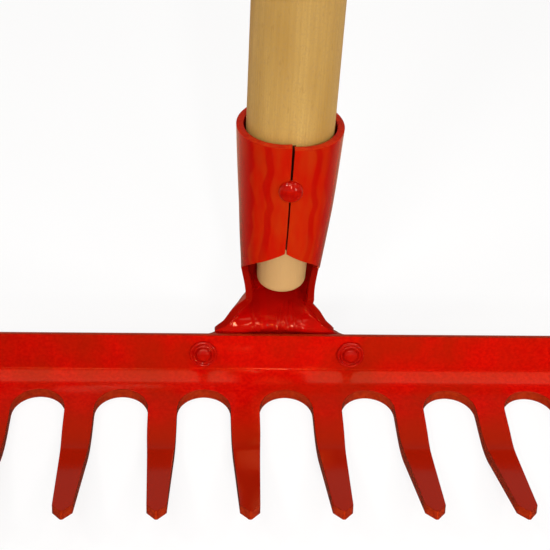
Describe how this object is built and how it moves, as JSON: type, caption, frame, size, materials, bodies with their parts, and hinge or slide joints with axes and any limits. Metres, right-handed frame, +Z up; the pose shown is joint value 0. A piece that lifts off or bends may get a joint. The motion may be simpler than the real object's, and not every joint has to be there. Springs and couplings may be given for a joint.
{
  "type": "garden rake",
  "caption": "Garden rake with a pressed steel tine bar riveted to a rolled conical socket on a straight round wooden handle.",
  "frame": {"origin": "on the flat underside of the tine bar's web, in the middle of its depth and below the middle of the socket", "axes": "+Z up along the handle, +X along the tine bar, tines pointing to -Y; the handle's axis stands 23 mm behind the origin"},
  "size_m": [0.3798, 0.1148, 1.3308],
  "materials": {
    "pale_wood": "clear lacquered pale hardwood, satin",
    "red_enamel_socket": "glossy red stove enamel",
    "red_enamel_bar": "glossy red stove enamel with a fine mottle",
    "red_enamel_rivet": "glossy red stove enamel"
  },
  "bodies": {
    "root": {"handle": "pale_wood", "socket": "red_enamel_socket", "tine_bar": "red_enamel_bar", "bar_rivet_left": "red_enamel_rivet", "bar_rivet_right": "red_enamel_rivet", "handle_rivet": "red_enamel_rivet"}
  },
  "joints": []
}
